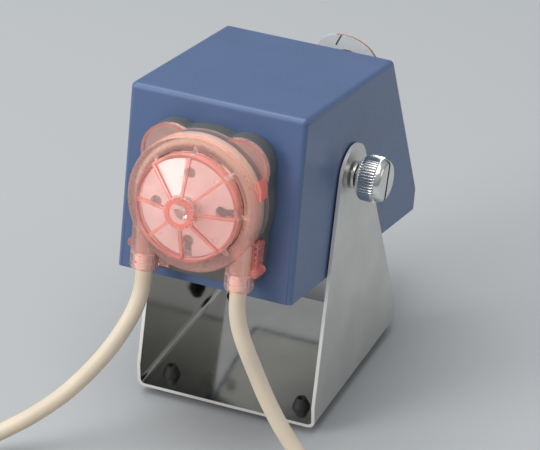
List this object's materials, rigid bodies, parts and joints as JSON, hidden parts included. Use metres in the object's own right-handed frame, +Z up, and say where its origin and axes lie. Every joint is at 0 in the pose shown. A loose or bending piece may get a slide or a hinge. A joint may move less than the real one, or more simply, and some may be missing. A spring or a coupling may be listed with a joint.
{
  "type": "peristaltic pump",
  "caption": "Bench-top peristaltic pump: painted housing on a tilting sheet-metal stand, clear-covered roller head with tubing, rear speed dial.",
  "frame": {"origin": "on the bench, under the middle of the pump's own box (free tubes left out)", "axes": "+Z up; +X to the right of someone facing the pump head; +Y to the rear, away from the head"},
  "size_m": [0.1825, 0.3036, 0.1681],
  "materials": {
    "blue_painted_steel": "satin powder coat, slate blue",
    "stainless_sheet": "brushed to mirror-like stainless sheet",
    "plated_steel": "bright nickel plate",
    "zinc_plated_steel": "zinc plate",
    "black_rubber": "matte moulded rubber",
    "dark_grey_plastic": "fine-grained moulding",
    "clear_red_plastic": "clear tinted moulding",
    "white_acetal": "satin natural acetal",
    "cream_tubing": "smooth peristaltic tubing",
    "black_plastic": "satin black moulding",
    "clear_acrylic": "clear moulded acrylic",
    "brass": "machined brass",
    "circuit_board": "green solder mask"
  },
  "bodies": {
    "stand": {"stand_bracket": "stainless_sheet", "foot_front_left": "black_rubber", "foot_front_right": "black_rubber", "foot_rear_left": "black_rubber", "foot_rear_right": "black_rubber", "pivot_spacer_left": "black_rubber", "pivot_spacer_right": "black_rubber", "inlet_tube": "cream_tubing", "outlet_tube": "cream_tubing", "inlet_coil": "cream_tubing", "outlet_coil": "cream_tubing"},
    "housing": {"housing_shell": "blue_painted_steel", "bottom_cover": "stainless_sheet", "control_board": "circuit_board", "cover_screw_1": "zinc_plated_steel", "cover_screw_2": "zinc_plated_steel", "pivot_nut_left": "zinc_plated_steel", "pivot_nut_right": "zinc_plated_steel", "head_base": "dark_grey_plastic", "head_casing": "clear_red_plastic", "head_cover": "clear_red_plastic", "cover_catch": "clear_red_plastic", "pump_tube": "cream_tubing", "tube_nut_left": "clear_red_plastic", "tube_nut_right": "clear_red_plastic", "side_clip_left": "clear_red_plastic", "side_clip_right": "clear_red_plastic", "head_screw_left": "zinc_plated_steel", "head_screw_right": "zinc_plated_steel", "shaft_bearing": "brass", "gearbox_case": "zinc_plated_steel", "gearbox_plate": "zinc_plated_steel", "cluster_axle": "zinc_plated_steel", "motor_can": "zinc_plated_steel", "speed_potentiometer": "black_plastic", "power_switch": "black_plastic", "direction_switch": "zinc_plated_steel", "power_inlet": "black_plastic"},
    "rotor": {"rotor_front_plate": "white_acetal", "roller_carrier": "white_acetal", "drive_shaft": "zinc_plated_steel", "rotor_screw": "zinc_plated_steel", "output_gear": "brass"},
    "cluster": {"cluster_gear": "brass"},
    "motor_shaft": {"motor_pinion": "brass"},
    "dial": {"dial_knob": "black_plastic", "dial_skirt": "clear_acrylic", "dial_shaft": "zinc_plated_steel"},
    "rocker": {"power_rocker": "black_plastic"},
    "lever": {"direction_lever": "plated_steel"},
    "roller_1": {"roller_1": "white_acetal"},
    "roller_2": {"roller_2": "white_acetal"},
    "roller_3": {"roller_3": "white_acetal"},
    "roller_4": {"roller_4": "white_acetal"},
    "washers_right": {"flat_washer_right": "plated_steel", "spring_washer_right": "zinc_plated_steel"},
    "screw_right": {"thumb_screw_right": "plated_steel"},
    "washers_left": {"flat_washer_left": "plated_steel", "spring_washer_left": "zinc_plated_steel"},
    "screw_left": {"thumb_screw_left": "plated_steel"}
  },
  "joints": [
    {"name": "housing_tilt", "type": "hinge", "parent": "stand", "child": "housing", "pos_m": [0, 0.00295, 0.1154], "axis": [1, 0, 0], "range_deg": [-45, 40], "deforming": ["inlet_tube", "outlet_tube"]},
    {"name": "rotor_spin", "type": "hinge", "parent": "housing", "child": "rotor", "pos_m": [0, -0.06308, 0.12944], "axis": [0, -0.9759, 0.2181], "continuous": true},
    {"name": "cluster_spin", "type": "hinge", "parent": "housing", "child": "cluster", "pos_m": [0.0082, -0.04142, 0.13464], "axis": [0, -0.9759, 0.2181], "continuous": true},
    {"name": "motor_spin", "type": "hinge", "parent": "housing", "child": "motor_shaft", "pos_m": [-0.0043, -0.03166, 0.13246], "axis": [0, -0.9759, 0.2181], "continuous": true},
    {"name": "roller_1_spin", "type": "hinge", "parent": "rotor", "child": "roller_1", "pos_m": [0.01245, -0.06397, 0.1438], "axis": [0, -0.9759, 0.2181], "continuous": true},
    {"name": "roller_2_spin", "type": "hinge", "parent": "rotor", "child": "roller_2", "pos_m": [-0.01382, -0.06427, 0.14246], "axis": [0, -0.9759, 0.2181], "continuous": true},
    {"name": "roller_3_spin", "type": "hinge", "parent": "rotor", "child": "roller_3", "pos_m": [-0.01245, -0.07, 0.11682], "axis": [0, -0.9759, 0.2181], "continuous": true},
    {"name": "roller_4_spin", "type": "hinge", "parent": "rotor", "child": "roller_4", "pos_m": [0.01382, -0.0697, 0.11817], "axis": [0, -0.9759, 0.2181], "continuous": true},
    {"name": "clamp_right_slide", "type": "slide", "parent": "housing", "child": "washers_right", "axis": [1, 0, 0], "range_m": [0, 0.0016]},
    {"name": "screw_right_turn", "type": "hinge", "parent": "washers_right", "child": "screw_right", "pos_m": [0.055, 0.00295, 0.1154], "axis": [1, 0, 0], "range_deg": [0, 722]},
    {"name": "clamp_left_slide", "type": "slide", "parent": "housing", "child": "washers_left", "axis": [-1, 0, 0], "range_m": [0, 0.0016]},
    {"name": "screw_left_turn", "type": "hinge", "parent": "washers_left", "child": "screw_left", "pos_m": [-0.055, 0.00295, 0.1154], "axis": [-1, 0, 0], "range_deg": [0, 722]},
    {"name": "dial_turn", "type": "hinge", "parent": "housing", "child": "dial", "pos_m": [0.014, 0.06836, 0.1353], "axis": [0, 0.9422, 0.335], "range_deg": [-150, 150]},
    {"name": "rocker_tip", "type": "hinge", "parent": "housing", "child": "rocker", "pos_m": [-0.021, 0.064, 0.12367], "axis": [-1, 0, 0], "range_deg": [0, 14]},
    {"name": "lever_throw", "type": "hinge", "parent": "housing", "child": "lever", "pos_m": [-0.021, 0.07284, 0.09284], "axis": [-1, 0, 0], "range_deg": [-8, 8]}
  ],
  "couplings": [
    {"joint": "cluster_spin", "follows": "rotor_spin", "ratio": -3},
    {"joint": "motor_spin", "follows": "rotor_spin", "ratio": 9},
    {"joint": "roller_1_spin", "follows": "rotor_spin", "ratio": -4.1},
    {"joint": "roller_2_spin", "follows": "rotor_spin", "ratio": -4.1},
    {"joint": "roller_3_spin", "follows": "rotor_spin", "ratio": -4.1},
    {"joint": "roller_4_spin", "follows": "rotor_spin", "ratio": -4.1},
    {"joint": "screw_right_turn", "follows": "clamp_right_slide", "rad_per_m": 7854},
    {"joint": "screw_left_turn", "follows": "clamp_left_slide", "rad_per_m": 7854}
  ]
}
